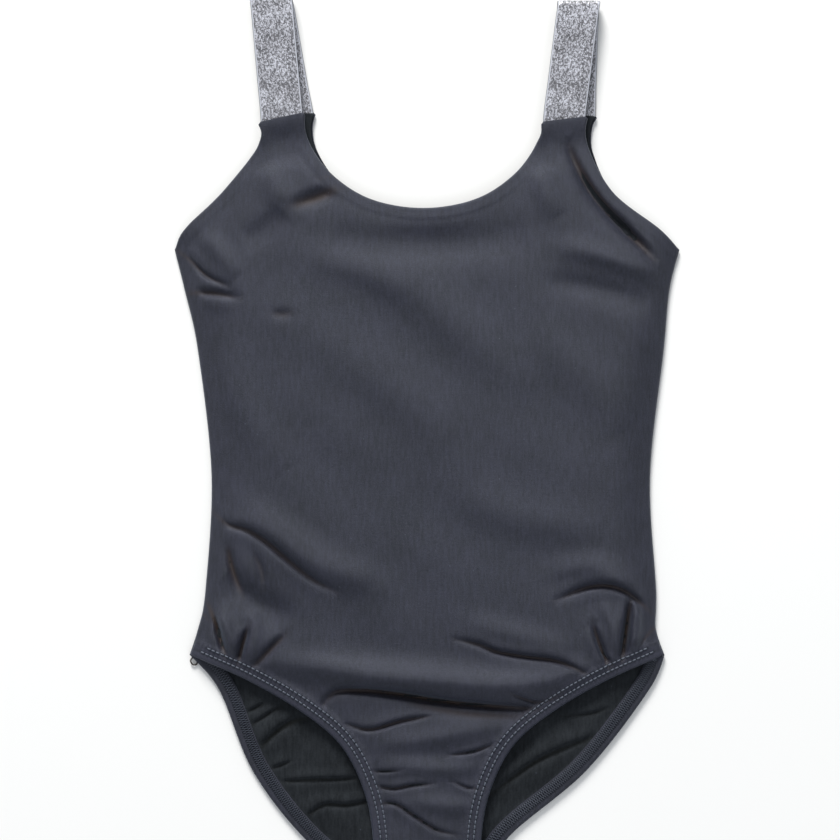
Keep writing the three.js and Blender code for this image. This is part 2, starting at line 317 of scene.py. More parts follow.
# Each swell: a broad rise (or hollow) in the cloth, its route, its width and its height.
FRONT_SWELLS = [
    ([(-98, -127), (-50, -132), (0, -137), (50, -141), (100, -134)], 7.5, 3.4),
    ([(-122, -78), (-104, -92), (-78, -104)], 9.0, -1.8),
    ([(-30, -176), (0, -173), (38, -167)], 6.0, 1.2),
    ([(-30, -188), (10, -191), (34, -190)], 5.0, 0.9),
    ([(-16, -209), (14, -213), (32, -212)], 5.0, 0.9),
    ([(-112, -36), (-88, -50), (-62, -70), (-30, -82)], 9.0, 2.2),
    ([(-126, -98), (-118, -108), (-113, -122)], 4.5, 1.2),
    ([(-104, -96), (-101, -110), (-104, -124)], 4.5, 1.1),
    ([(72, -75), (100, -72), (126, -84)], 7.0, 1.4),
    ([(124, -95), (124, -108), (122, -122)], 3.5, 1.5),
    ([(104, -92), (109, -108), (111, -122)], 4.0, 1.2),
    ([(20, -104), (52, -112), (88, -122)], 7.0, 1.1),
    ([(76, 117), (100, 113), (140, 99)], 6.5, 1.6),
    ([(70, 97), (100, 92), (132, 82)], 7.0, -1.3),
    ([(-60, 123), (-30, 119), (0, 118), (34, 120), (62, 127)], 11.0, -2.0),
    ([(-70, 112), (-40, 104), (-10, 88)], 9.0, 0.9),
    ([(86, 172), (96, 152), (112, 134), (130, 116)], 6.5, -1.3),
    ([(-134, 126), (-122, 112), (-112, 98)], 6.5, 1.6),
    ([(-48, 127), (-20, 104), (12, 77), (40, 50), (67, 27)], 15.0, 1.1),
    ([(-96, 96), (-60, 62), (-20, 30), (20, -2)], 16.0, 0.9),
    ([(-122, 40), (-104, 12), (-80, -14)], 12.0, 0.7),
    ([(60, 72), (96, 40), (116, 6)], 14.0, 0.8),
    ([(20, -30), (60, -44), (104, -50)], 12.0, 0.8),
    ([(62, 168), (70, 150), (78, 134)], 7.0, 1.1),
    ([(-96, 168), (-88, 150), (-70, 136)], 8.0, 1.1),
    ([(-110, 120), (-96, 126), (-84, 138)], 8.0, -1.3),
]
BACK_CREASES = [
    ([(-101, -182), (-89, -170), (-78, -164), (-66, -161)], 2.0, 1.8, 1.3, 0.3),
    ([(-109, -160), (-96, -153)], 1.1, 1.2, 0.6, 0.3),
    ([(-107, -168), (-96, -161), (-84, -153)], 1.1, 1.2, 0.7, 0.3),
    ([(-94, -193), (-81, -188)], 1.0, 1.1, 0.6, 0.3),
    ([(-88, -200), (-64, -199), (-40, -198)], 1.3, 1.6, 0.9, 0.3),
    ([(-72, -221), (-61, -214), (-47, -214), (-30, -211)], 1.5, 1.7, 1.0, 0.3),
    ([(36, -209), (62, -190), (80, -181), (103, -172)], 1.9, 1.7, 1.2, 0.3),
    ([(80, -161), (96, -160), (108, -156)], 1.3, 1.0, 0.6, 0.3),
]
# The front's swells and creases stand this many times as high as they are listed.
SWELL_STRENGTH = 2.1
CREASE_STRENGTH = 1.2
CREASE_ROWS = (0, 0.6, -0.6, 1.2, -1.2, 1.9, -1.9, 2.8, -2.8, 4.0, -4.0)


def crease(points, route, width, depth, above=0.0, below=0.0, taper=0.6):
    """A pressed line in the cloth, with a lip of cloth pushed up on either side of it."""
    reach = 2.4 * width
    low = np.min(route, axis=0) - 3 * reach
    high = np.max(route, axis=0) + 3 * reach
    inside = np.flatnonzero(((points > low) & (points < high)).all(axis=1))
    height = np.zeros(len(points))
    if len(inside):
        off, along = project(evenly(np.array(route, float), 3.0), points[inside])
        pressed = np.exp(-((off / width) ** 2))
        lip = np.where(off > 0, above, below) * np.exp(-(((abs(off) - reach) / reach) ** 2))
        fade = np.sin(np.pi * np.clip(along, 0.02, 0.98)) ** taper
        height[inside] = (lip * (1 - pressed) - depth * pressed) * fade
    return height


def relief_of_front(points, edge):
    x, y = points.T
    rim = np.min(list(edge.values()), axis=0)
    relief = 0.5 * np.sin((x + 0.9 * y) / 21 + 0.6) * np.sin((x - 1.1 * y) / 47 + 1.2)
    relief += 0.3 * np.sin((x + 1.2 * y) / 11 + 2.1) * np.sin((x - 0.8 * y) / 33)
    for route, width, height in FRONT_SWELLS:
        relief -= crease(points, route, width, SWELL_STRENGTH * height)
    relief *= smooth((rim - 2) / 14)
    for route, width, depth, above, below in FRONT_CREASES:
        fold = crease(points, route, width, depth, above, below)
        relief += CREASE_STRENGTH * fold * smooth((rim - 6) / 6)
    return relief


def stitch_wave(points, piece, distance):
    """Along a leg edge: 1 at each stitch hole and -1 halfway between two; 0 away from the edge."""
    wave = np.zeros(len(points))
    close = np.flatnonzero(distance < 14)
    for side in ("right", "left"):
        line = piece.lines[f"leg_{side}"]
        off, along = project(line, points[close])
        wave[close] += np.where(abs(off) < 14, np.cos(np.pi * along * (len(line) - 1)), 0)
    return wave


def pucker(points, piece, edge):
    """The cloth of a leg edge is drawn in at each stitch hole, and stands up between them."""
    leg = edge["leg"]
    across = smooth((leg - 3.4) / 1.4) * (1 - smooth((leg - 8.4) / 2.4))
    return -0.24 * across * stitch_wave(points, piece, leg)


def lie_of_front(points, edge=None, crumple=1.0):
    """The height of the middle of the front above the floor."""
    edge = edge or front.edges(points)
    height = np.full(len(points), LOFT)
    for kind, low in FRONT_EDGE.items():
        rise = 1 - (1 - np.clip(edge[kind] / FRONT_REACH[kind], 0, 1)) ** 2.4
        height *= low / LOFT + (1 - low / LOFT) * rise
    at_tab = TAB_HEIGHT + TAB_RISE * (1 - smooth(edge["tab"] / 16))
    height = at_tab + (height - at_tab) * smooth((edge["tab"] - 15) / 18)
    return height + crumple * relief_of_front(points, edge)


def half_thickness(edge):
    """Half the thickness of the edge bands and of the plain two-layer cloth."""
    half = np.full(len(edge["leg"]), PLAIN_HALF)
    for kind, (width, thick, fade) in BAND.items():
        inside = 1 - smooth((edge[kind] - width) / fade + 0.4)
        half = np.maximum(half, PLAIN_HALF + (thick - PLAIN_HALF) * inside)
    return half


def lie_of_back(points, edge=None):
    """The height of the middle of the back above the floor."""
    edge = edge or back.edges(points)
    rim = np.min(list(edge.values()), axis=0)
    x, y = points.T
    lift = BACK_LIFT + 0.8 * np.sin((x + y) / 9) * np.sin((x - 1.6 * y) / 23)
    for route, width, depth, above, below in BACK_CREASES:
        lift += crease(points, route, width, depth, 1.5 * above, below) * smooth((rim - 7) / 5)
    lift = np.maximum(lift, 0) * smooth((rim - 3) / 14) * smooth((edge["tab"] - 18) / 10)
    return FLOOR_GAP + half_thickness(edge) + lift


# ---------------------------------------------------------------------------
# Front shell. Charcoal stretch knit, cut in one piece and turned under over
# elastic at every open edge, so that each edge is a firm rounded band.
# ---------------------------------------------------------------------------
CLOTH = 0.45
EDGE_ROUND = 1.3
ROWS = (0.15, 0.45, 0.9, 1.4, 2.3, 3.5, 4.7, 5.9, 7.0, 8.2, 9.3, 10.4)
GRID = 2.0
SEAM_DROP = 0.7


def roll(rim):
    """The rounding of an edge, from 0 at its rim to 1."""
    return np.sqrt(1 - (1 - np.clip(rim / EDGE_ROUND, 0, 1)) ** 2)


def face_of(piece, points, outwards):
    """Heights of the middle and of one face: the outer cloth wraps past the middle at its rim."""
    edge = piece.edges(points)
    rim = np.min(list(edge.values()), axis=0)
    half = half_thickness(edge)
    weight = {name: 1 / (distance + 0.3) ** 3 for name, distance in edge.items()}
    total = sum(weight.values())
    tab = weight["tab"] / total
    seam = (weight["side"] + weight["crotch"]) / total
    if outwards:
        start = 0.95 * tab * half - 0.6 * (1 - tab - seam) * half - SEAM_DROP * seam
    else:
        start = (0.5 + 0.45 * tab) * half
        rim = rim - 0.9
    return start + (half - start) * roll(rim), edge


def top_of_front(points):
    rise, edge = face_of(front, points, True)
    return lie_of_front(points, edge) + rise + pucker(points, front, edge)


def cloth_sheet(name, piece, height, creases=(), start=0.0, grid=GRID, down=False):
    """A sheet of cloth cut to a piece, at the given height, in finer steps at its edge and creases."""
    outline = piece.outline()
    rim = inset(outline, start, closed=True) if start else outline
    low, high = outline.min(0), outline.max(0)
    mesh_x, mesh_y = np.meshgrid(np.arange(low[0], high[0], grid),
                                 np.arange(low[1], high[1], grid * 0.866))
    mesh_x[1::2] += grid / 2
    field = np.stack([mesh_x.ravel(), mesh_y.ravel()], 1)
    loops = [(row, inset(outline, start + row, closed=True)) for row in ROWS]
    for route, *_ in creases:
        route = evenly(np.array(route, float), 1.2)
        field = field[abs(project(route, field)[0]) > abs(CREASE_ROWS[-1]) + 0.8]
        loops += [(ROWS[-1] + grid * 0.5, inset(route, row)) for row in CREASE_ROWS]
    loops.append((ROWS[-1] + grid * 0.7, field))
    least = np.concatenate([np.full(len(points), start + row - 0.12) for row, points in loops])
    points = np.vstack([points for _, points in loops])
    points = np.vstack([rim, points[piece.inside(points, least)]])
    ring = [(i, (i + 1) % len(rim)) for i in range(len(rim))]
    flat, _, faces, *_ = delaunay_2d_cdt([Vector(p) for p in points], ring, [], 1, 1e-3)
    flat = np.array(flat)
    if down:
        faces = [face[::-1] for face in faces]
    return cloth_object(name, np.column_stack([flat, height(flat)]), faces)


def cloth_object(name, places, faces):
    mesh = bpy.data.meshes.new(name)
    mesh.from_pydata((np.array(places) * MM).tolist(), [], faces)
    mesh.validate()
    mesh.shade_smooth()
    sheet = bpy.data.objects.new(name, mesh)
    bpy.context.scene.collection.objects.link(sheet)
    return sheet


def thicken(sheet, thickness):
    """Gives a sheet its thickness, behind the surface it was laid on."""
    solid = sheet.modifiers.new("thickness", "SOLIDIFY")
    solid.thickness = thickness * MM
    solid.offset = -1
    depsgraph = bpy.context.evaluated_depsgraph_get()
    mesh = bpy.data.meshes.new_from_object(sheet.evaluated_get(depsgraph))
    sheet.modifiers.clear()
    sheet.data = mesh
    return sheet


def principled(name, colour, roughness):
    material = bpy.data.materials.new(name)
    material.use_nodes = True
    surface = material.node_tree.nodes["Principled BSDF"]
    surface.inputs["Base Color"].default_value = (*colour, 1)
    surface.inputs["Roughness"].default_value = roughness
    return material, surface


def finish_piece(piece, material, slot, body, *nodes):
    """Gives a piece its material and its body, and hides the nodes it stands for; its slot is not used."""
    piece.data.materials.clear()
    piece.data.materials.append(material)
    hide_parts(*nodes)
    if body:
        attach(piece, body)
    return piece


def lay_sheet(piece, cut, *under):
    """Works out the outline of the cut in metres and does nothing more with it; the piece and what it lies
    on are not used.
    """
    outline = cut.outline() * MM


def group_of(name, *outlets):
    """A new node group, with its coordinate inlet and its outlets."""
    group = bpy.data.node_groups.new(name, "ShaderNodeTree")
    group.interface.new_socket("Place", in_out="INPUT", socket_type="NodeSocketVector")
    for outlet, kind in outlets:
        group.interface.new_socket(outlet, in_out="OUTPUT", socket_type=kind)
    return group, group.nodes.new("NodeGroupInput"), group.nodes.new("NodeGroupOutput")


def add(nodes, kind, **values):
    """A new node with the given settings; inlets are named with a capital."""
    node = nodes.new(kind)
    for key, value in values.items():
        if key[0].isupper():
            node.inputs[key.replace("_", " ")].default_value = value
        else:
            setattr(node, key, value)
    return node


def scaled_sum(nodes, link, value, factor, rest):
    """The value times a factor, plus the rest."""
    node = add(nodes, "ShaderNodeMath", operation="MULTIPLY_ADD")
    link(value, node.inputs[0])
    node.inputs[1].default_value = factor
    link(rest, node.inputs[2])
    return node.outputs[0]


def tinted(nodes, link, below, colour, amount):
    """A colour laid over what is below it, as far as the amount says."""
    node = add(nodes, "ShaderNodeMix", data_type="RGBA")
    node.inputs["B"].default_value = (*colour, 1)
    link(amount, node.inputs["Factor"])
    link(below, node.inputs["A"])
    return node.outputs["Result"]


def knit_group():
    """Fine stretch knit: its wales and loops as a height, its uneven dye, and clinging fibre dust."""
    group, entry, out = group_of("stretch knit", ("Height", "NodeSocketFloat"),
                                 ("Mottle", "NodeSocketFloat"), ("Dust", "NodeSocketFloat"))
    nodes, link = group.nodes, group.links.new
    wale = add(nodes, "ShaderNodeTexWave", wave_type="BANDS", bands_direction="X",
               Scale=680.0, Distortion=1.2, Detail=1.0)
    loops = add(nodes, "ShaderNodeTexWave", wave_type="BANDS", bands_direction="Y",
                Scale=820.0, Distortion=2.0, Detail=1.0)
    yarn = add(nodes, "ShaderNodeTexNoise", Scale=950.0, Detail=2.0, Roughness=0.6)
    uneven = add(nodes, "ShaderNodeTexNoise", Scale=38.0, Detail=4.0, Roughness=0.62)
    streak = add(nodes, "ShaderNodeMapping", Scale=(1.0, 0.16, 1.0))
    streaks = add(nodes, "ShaderNodeTexNoise", Scale=620.0, Detail=2.0, Roughness=0.7)
    lint = add(nodes, "ShaderNodeTexVoronoi", Scale=95.0, Randomness=1.0)
    lint_size = add(nodes, "ShaderNodeMapRange", From_Min=0.045, From_Max=0.02, To_Min=0.0, To_Max=1.0)
    for node in (wale, loops, yarn, uneven, lint):
        link(entry.outputs["Place"], node.inputs["Vector"])
    link(entry.outputs["Place"], streak.inputs["Vector"])
    link(streak.outputs["Vector"], streaks.inputs["Vector"])
    weave = add(nodes, "ShaderNodeMath", operation="MULTIPLY")
    link(wale.outputs["Fac"], weave.inputs[0])
    link(loops.outputs["Fac"], weave.inputs[1])
    height = add(nodes, "ShaderNodeMath", operation="ADD")
    link(weave.outputs[0], height.inputs[0])
    link(yarn.outputs["Fac"], height.inputs[1])
    fine = scaled_sum(nodes, link, yarn.outputs["Fac"], 0.5, streaks.outputs["Fac"])
    mottle = scaled_sum(nodes, link, uneven.outputs["Fac"], 0.6, fine)
    link(lint.outputs["Distance"], lint_size.inputs["Value"])
    link(height.outputs[0], out.inputs["Height"])
    link(mottle, out.inputs["Mottle"])
    link(lint_size.outputs["Result"], out.inputs["Dust"])
    return group


KNIT = knit_group()
# Painted shade for the stitch holes, near black.
STITCH_HOLE_SHADE = (0.002, 0.002, 0.003)
FIBRE_DUST = (0.09, 0.1, 0.13)


def knit_material(name, dark, light, fold_shade_colour, roughness, sheen, gloss, relief):
    """A knit cloth: its dye varies a little, and painted shade makes it darker at stitch holes and in
    pressed folds.
    """
    material, surface = principled(name, light, roughness)
    nodes, link = material.node_tree.nodes, material.node_tree.links.new
    knit = add(nodes, "ShaderNodeGroup", node_tree=KNIT)
    place = nodes.new("ShaderNodeTexCoord")
    link(place.outputs["Object"], knit.inputs["Place"])
    spread = add(nodes, "ShaderNodeMapRange", From_Min=0.8, From_Max=1.3)
    dye = add(nodes, "ShaderNodeMix", data_type="RGBA")
    dye.inputs["A"].default_value = (*dark, 1)
    dye.inputs["B"].default_value = (*light, 1)
    link(knit.outputs["Mottle"], spread.inputs["Value"])
    # Paler at a leg edge: partly the knit stretched by the elastic, partly a painted highlight on the flat
    # band.
    stretch_and_highlight = add(nodes, "ShaderNodeAttribute", attribute_name="stretch_and_highlight")
    paler = scaled_sum(nodes, link, stretch_and_highlight.outputs["Fac"], 0.4, spread.outputs["Result"])
    link(paler, dye.inputs["Factor"])
    # Painted shade: a warm dark brown laid into the pressed folds, in place of the shadow deep in each
    # crease.
    fold = add(nodes, "ShaderNodeAttribute", attribute_name="pressed")
    with_fold_shade = tinted(nodes, link, dye.outputs["Result"], fold_shade_colour, fold.outputs["Fac"])
    # Painted shade along the needle rows, darkest at the stitch holes.
    needle_row_shade_mark = add(nodes, "ShaderNodeAttribute", attribute_name="needle_row_shade")
    with_needle_row_shade = tinted(nodes, link, with_fold_shade, STITCH_HOLE_SHADE, needle_row_shade_mark.outputs["Fac"])
    dust = add(nodes, "ShaderNodeMath", operation="MULTIPLY")
    dust.inputs[1].default_value = 0.35
    link(knit.outputs["Dust"], dust.inputs[0])
    dusty = tinted(nodes, link, with_needle_row_shade, FIBRE_DUST, dust.outputs[0])
    link(dusty, surface.inputs["Base Color"])
    bump = add(nodes, "ShaderNodeBump", Strength=relief, Distance=0.0003)
    link(knit.outputs["Height"], bump.inputs["Height"])
    link(bump.outputs["Normal"], surface.inputs["Normal"])
    surface.inputs["Sheen Weight"].default_value = sheen
    surface.inputs["Sheen Roughness"].default_value = 0.4
    surface.inputs["Sheen Tint"].default_value = (0.62, 0.78, 1.0, 1)
    surface.inputs["Specular Tint"].default_value = (0.8, 0.88, 1.0, 1)
    surface.inputs["Specular IOR Level"].default_value = gloss
    return material


NEEDLE_ROWS = (4.7, 8.2)
HOLE_REACH = 0.75
FULL_SHADE_DEPTH = 3.5


def mark_cloth(piece, cut, creases=(), paleness=1.0):
    """Marks a piece for its material: painted shade where it is stitched and where it is pressed into a
    fold, and paleness at a leg edge, partly where the elastic stretches it and partly a painted highlight
    on the flat band. A negative paleness makes that edge darker."""
    corner = np.array([vertex.co for vertex in piece.data.vertices])[:, :2] / MM
    leg = cut.near(corner, "leg_right", "leg_left")
    # Painted shade along each needle row, strongest at each stitch hole.
    needle_row_shade = sum(np.exp(-(((leg - row) / HOLE_REACH) ** 2)) for row in NEEDLE_ROWS)
    needle_row_shade *= 0.68 + 0.32 * stitch_wave(corner, cut, leg)
    # How deep each fold is, as the amount of painted shade laid into it.
    pressed = np.zeros(len(corner))
    for route, width, depth, *_ in creases:
        pressed -= crease(corner, route, 0.62 * width, min(depth / FULL_SHADE_DEPTH, 1.0))
    # Paleness at a leg edge: partly stretch, partly a painted highlight on the flat band.
    stretch_and_highlight = paleness * (1 - smooth((leg - 8.5) / 2.5))
    for name, values in (("stretch_and_highlight", stretch_and_highlight), ("needle_row_shade", needle_row_shade), ("pressed", np.clip(pressed, 0, 1))):
        mark = piece.data.attributes.new(name, "FLOAT", "POINT")
        mark.data.foreach_set("value", values.astype(np.float32))
    return piece


# Its third colour, a warm brown, is the painted shade of its folds.
charcoal = knit_material("charcoal shell knit", (0.0085, 0.008, 0.0135), (0.0215, 0.021, 0.035),
                         (0.034, 0.018, 0.008), 0.48, 0.17, 0.46, 0.5)

front_shell = thicken(cloth_sheet("front_shell", front, top_of_front, FRONT_CREASES), CLOTH)
mark_cloth(front_shell, front, FRONT_CREASES)
finish_piece(front_shell, charcoal, "shell", "torso", "front_panel")
lay_sheet(front_shell, front, "front_lining_cloth")

# ---------------------------------------------------------------------------
# Front lining. A thinner matte knit, cut like the shell and bagged out with
# it, so that its edge stays just inside the shell's.
# ---------------------------------------------------------------------------
LINING = 0.4
LINING_INSET = 0.9
LINING_CRUMPLE = 0.75
HIDDEN_GRID = 3.0
SAG = 1.6
TURNING = 10.0


def under_turning(edge):
    """The step down of the lining where the turned leg edge covers it."""
    return 0.5 * (1 - smooth((edge["leg"] - TURNING - 0.2) / 1.2))


def bottom_of_front(points):
    rise, edge = face_of(front, points, False)
    rim = np.min(list(edge.values()), axis=0)
    sag = SAG * smooth((rim - 8) / 8)
    return lie_of_front(points, edge, LINING_CRUMPLE) - rise - sag + under_turning(edge)


# Its third colour, a warm brown, is the painted shade of its folds.
lining = knit_material("charcoal lining knit", (0.006, 0.007, 0.008), (0.018, 0.0205, 0.0235),
                       (0.008, 0.007, 0.002), 0.8, 0.06, 0.25, 0.5)

front_lining = thicken(
    cloth_sheet("front_lining_cloth", front, bottom_of_front, (), LINING_INSET, HIDDEN_GRID, True), LINING)
finish_piece(front_lining, lining, "lining", "torso", "front_lining")
lay_sheet(front_lining, front, "back_lining_cloth")

# ---------------------------------------------------------------------------
# Back shell. The same charcoal knit. Its outer face lies on the floor, and
# its rim turns up to meet the front's at the side seams.
# ---------------------------------------------------------------------------
def bottom_of_back(points):
    rise, edge = face_of(back, points, True)
    rise = np.where(rise > 0, rise - pucker(points, back, edge), rise)
    return lie_of_back(points, edge) - rise


back_shell = thicken(cloth_sheet("back_shell", back, bottom_of_back, down=True), CLOTH)
mark_cloth(back_shell, back)
finish_piece(back_shell, charcoal, "shell", "torso", "back_panel")
lay_sheet(back_shell, back, "floor")

# ---------------------------------------------------------------------------
# Back lining. The matte inside of the back, which shows through the leg
# openings in front.
# ---------------------------------------------------------------------------
def top_of_back(points):
    rise, edge = face_of(back, points, False)
    return lie_of_back(points, edge) + rise - under_turning(edge)


back_lining = thicken(
    cloth_sheet("back_lining_cloth", back, top_of_back, BACK_CREASES, LINING_INSET), LINING)
mark_cloth(back_lining, back, BACK_CREASES)
finish_piece(back_lining, lining, "lining", "torso", "back_lining")
lay_sheet(back_lining, back, "back_shell")

# ---------------------------------------------------------------------------
# Leg edges. Shell cloth is turned over a flat elastic to the inside and held
# by a cover stitch, so each leg has a turning and an elastic, front and back.
# ---------------------------------------------------------------------------
ELASTIC = 0.6
ELASTIC_ROWS = (1.1, 3.0, 5.0, 7.0, 9.0, 9.8)
TURNING_ROWS = (0.25, 0.5, 0.9, 1.6, 2.6, 3.6, 4.7, 5.8, 7.0, 8.2, 9.2, 9.8, 10.0)


def band(name, piece, line, rows, height, down=False, keep=(0.0, 1.0)):
    """A strip of cloth that follows an edge of a piece, mitred where the edge ends."""
    grid = []
    count = len(piece.lines[line])
    for row in rows:
        moved = inset(piece.lines[line], row)
        inside = np.flatnonzero(piece.inside(moved, row - 0.25))
        inside = inside[(inside >= keep[0] * count) & (inside <= keep[1] * count)]
        run = moved[inside[0]:inside[-1] + 1]
        at = np.linspace(0, len(run) - 1, count)
        grid.append(np.stack([np.interp(at, np.arange(len(run)), run[:, axis]) for axis in (0, 1)], 1))
    flat = np.vstack(grid)
    faces = []
    for row in range(len(rows) - 1):
        for i in range(count - 1):
            a, b = row * count + i, (row + 1) * count + i
            face = (a, a + 1, b + 1, b)
            faces.append(face[::-1] if down else face)
    return cloth_object(name, np.column_stack([flat, height(flat)]), faces)


def inside_of_front(points):
    edge = front.edges(points)
    rim = np.min(list(edge.values()), axis=0)
    return lie_of_front(points, edge) - half_thickness(edge) * roll(rim)


def inside_of_back(points):
    edge = back.edges(points)
    rim = np.min(list(edge.values()), axis=0)
    return lie_of_back(points, edge) + half_thickness(edge) * roll(rim) + pucker(points, back, edge)


def middle_of_front(points):
    return lie_of_front(points) + ELASTIC / 2


def middle_of_back(points):
    return lie_of_back(points) + ELASTIC / 2


edge_elastic, _ = principled("edge elastic", (0.05, 0.05, 0.055), 0.8)

for side in ("right", "left"):
    turning = thicken(band(f"leg_turning_{side}_front", front, f"leg_{side}", TURNING_ROWS,
                           inside_of_front, down=True), CLOTH)
    mark_cloth(turning, front)
    finish_piece(turning, charcoal, "shell", "torso")
    turning = thicken(band(f"leg_turning_{side}_back", back, f"leg_{side}", TURNING_ROWS,
                           inside_of_back), CLOTH)
    mark_cloth(turning, back, paleness=-0.6)
    finish_piece(turning, charcoal, "shell", "torso")
    for face, piece, middle in (("front", front, middle_of_front), ("back", back, middle_of_back)):
        elastic = thicken(band(f"leg_band_{side}_{face}", piece, f"leg_{side}", ELASTIC_ROWS, middle),
                          ELASTIC)
        finish_piece(elastic, edge_elastic, "edge_elastic", "torso", f"leg_elastic_{side}_{face}")

# ---------------------------------------------------------------------------
# Neckline and armhole elastics. Narrow flat elastic bound between the shell
# and the lining of every bagged edge.
# ---------------------------------------------------------------------------
TOP_ROWS = (1.1, 2.5, 4.0, 5.5, 6.4)
CLEAR_OF_STRAP = 0.24

for face, piece, middle in (("front", front, middle_of_front), ("back", back, middle_of_back)):
    keep = (CLEAR_OF_STRAP / 3, 1 - CLEAR_OF_STRAP / 3)
    elastic = thicken(band(f"neck_band_{face}", piece, "neck", TOP_ROWS, middle, keep=keep), ELASTIC)
    finish_piece(elastic, edge_elastic, "edge_elastic", "torso", f"neck_elastic_{face}")
    for side, keep in (("right", (CLEAR_OF_STRAP, 1.0)), ("left", (0.0, 1 - CLEAR_OF_STRAP))):
        elastic = thicken(band(f"armhole_band_{side}_{face}", piece, f"armhole_{side}", TOP_ROWS, middle,
                               keep=keep), ELASTIC)
        finish_piece(elastic, edge_elastic, "edge_elastic", "torso", f"armhole_elastic_{side}_{face}")

# ---------------------------------------------------------------------------
# Seams. The raw edges of front and back, overlocked together, stand inside
# the body as a narrow strip along each side and across the crotch.
# ---------------------------------------------------------------------------
SEAM_ROWS = (1.4, 2.5, 4.0, 5.5, 7.0)
SEAM_THICKNESS = 0.8


def between_the_linings(points):
    gap = (inside_of_front(points) + inside_of_back(points)) / 2
    return gap + SEAM_THICKNESS / 2


for line, node in (("side_right", "side_seam_right"), ("side_left", "side_seam_left"),
                   ("crotch", "crotch_seam")):
    seam = thicken(band(f"{node}_allowance", front, line, SEAM_ROWS, between_the_linings), SEAM_THICKNESS)
    finish_piece(seam, lining, "lining", "torso", node)

# ---------------------------------------------------------------------------
# Crotch gusset. One more ply of soft lining knit, sewn to the inside of the
# front across the crotch.
# ---------------------------------------------------------------------------
GUSSET = 0.4
GUSSET_STEPS = 24

low, high = (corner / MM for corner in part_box("crotch_gusset"))
rungs = []
for y in np.linspace(low.y + 3, high.y, GUSSET_STEPS):
    reach = [line[np.argmin(abs(line[:, 1] - y)), 0] for line in
             (front.lines["leg_right"], front.lines["leg_left"])]
    x = np.linspace(reach[0] + TURNING + 1.5, reach[1] - TURNING - 1.5, GUSSET_STEPS)
    rungs.append(np.stack([x, np.full(GUSSET_STEPS, y)], 1))
flat = np.vstack(rungs)
faces = [(a, a + GUSSET_STEPS, a + GUSSET_STEPS + 1, a + 1)
         for r in range(GUSSET_STEPS - 1) for a in range(r * GUSSET_STEPS, (r + 1) * GUSSET_STEPS - 1)]
gusset = thicken(cloth_object("gusset_cloth", np.column_stack([flat, inside_of_front(flat) - GUSSET - 0.1]),
                              faces), GUSSET)
finish_piece(gusset, lining, "lining", "torso", "crotch_gusset")

# ---------------------------------------------------------------------------
# Cover stitching of the leg edges. Two rows of needle thread outside, and a
# looper thread that zigzags between them on the inside.
# ---------------------------------------------------------------------------
LOOPER_ROWS = (3.9, 9.0)
THREAD_RADIUS = 0.44
STITCH_RISE = 0.2
THREAD_SIDES = 6
HOLE_TO_HOLE = (0.14, 0.28, 0.5, 0.72, 0.86)
STITCH_ARCH = (-0.15, 0.6, 1.0, 0.6, -0.15)


def tubes(name, routes, radius):
    """Closed round threads along the given routes, as one mesh."""
    places, faces = [], []
    turn = np.linspace(0, 2 * np.pi, THREAD_SIDES, endpoint=False)
    for route in routes:
        route = np.array(route, float)
        along = np.gradient(route, axis=0)
        along /= np.linalg.norm(along, axis=1)[:, None]
        across = np.cross(along, (0, 0, 1.0))
        across /= np.maximum(np.linalg.norm(across, axis=1), 1e-6)[:, None]
        upward = np.cross(across, along)
        ring = (np.cos(turn)[None, :, None] * across[:, None]
                + np.sin(turn)[None, :, None] * upward[:, None])
        first = len(places)
        places.extend((route[:, None] + radius * ring).reshape(-1, 3).tolist())
        for i in range(len(route) - 1):
            for j in range(THREAD_SIDES):
                a, b = first + i * THREAD_SIDES + j, first + i * THREAD_SIDES + (j + 1) % THREAD_SIDES
                faces.append((a, b, b + THREAD_SIDES, a + THREAD_SIDES))
        faces.append(tuple(range(first, first + THREAD_SIDES))[::-1])
        last = first + (len(route) - 1) * THREAD_SIDES
        faces.append(tuple(range(last, last + THREAD_SIDES)))
    return cloth_object(name, places, faces)


def needle_row(name, piece, line, row, height, rise):
    """One row of stitches: the thread dips into the cloth at each hole."""
    moved = inset(piece.lines[line], row)
    inside = np.flatnonzero(piece.inside(moved, row - 0.25))
    moved = moved[inside[0] + inside[0] % 2:inside[-1] + 1]
    level = height(moved)
    share = np.array(HOLE_TO_HOLE)[:, None]
    lift = np.array(STITCH_ARCH) * rise
    routes = []
    for i in range(0, len(moved) - 2, 2):
        flat = moved[i] + (moved[i + 2] - moved[i]) * share
        z = np.interp(HOLE_TO_HOLE, (0, 0.5, 1), level[i:i + 3]) + lift
        routes.append(np.column_stack([flat, z]))
    return tubes(name, routes, THREAD_RADIUS)


def looper_run(name, piece, line, height, rise):
    """The looper thread: it crosses from row to row, twice over, in a lattice."""
    rows = [inset(piece.lines[line], row) for row in LOOPER_ROWS]
    inside = np.flatnonzero(piece.inside(rows[1], LOOPER_ROWS[1] - 0.25))
    routes = []
    for phase in (0, 1):
        flat = np.array([rows[(i + phase) % 2][i] for i in range(inside[0], inside[-1])])
        routes.append(np.column_stack([flat, height(flat) + rise * (1 + 0.8 * phase)]))
    return tubes(name, routes, THREAD_RADIUS)


thread, _ = principled("charcoal thread", (0.075, 0.086, 0.115), 0.5)

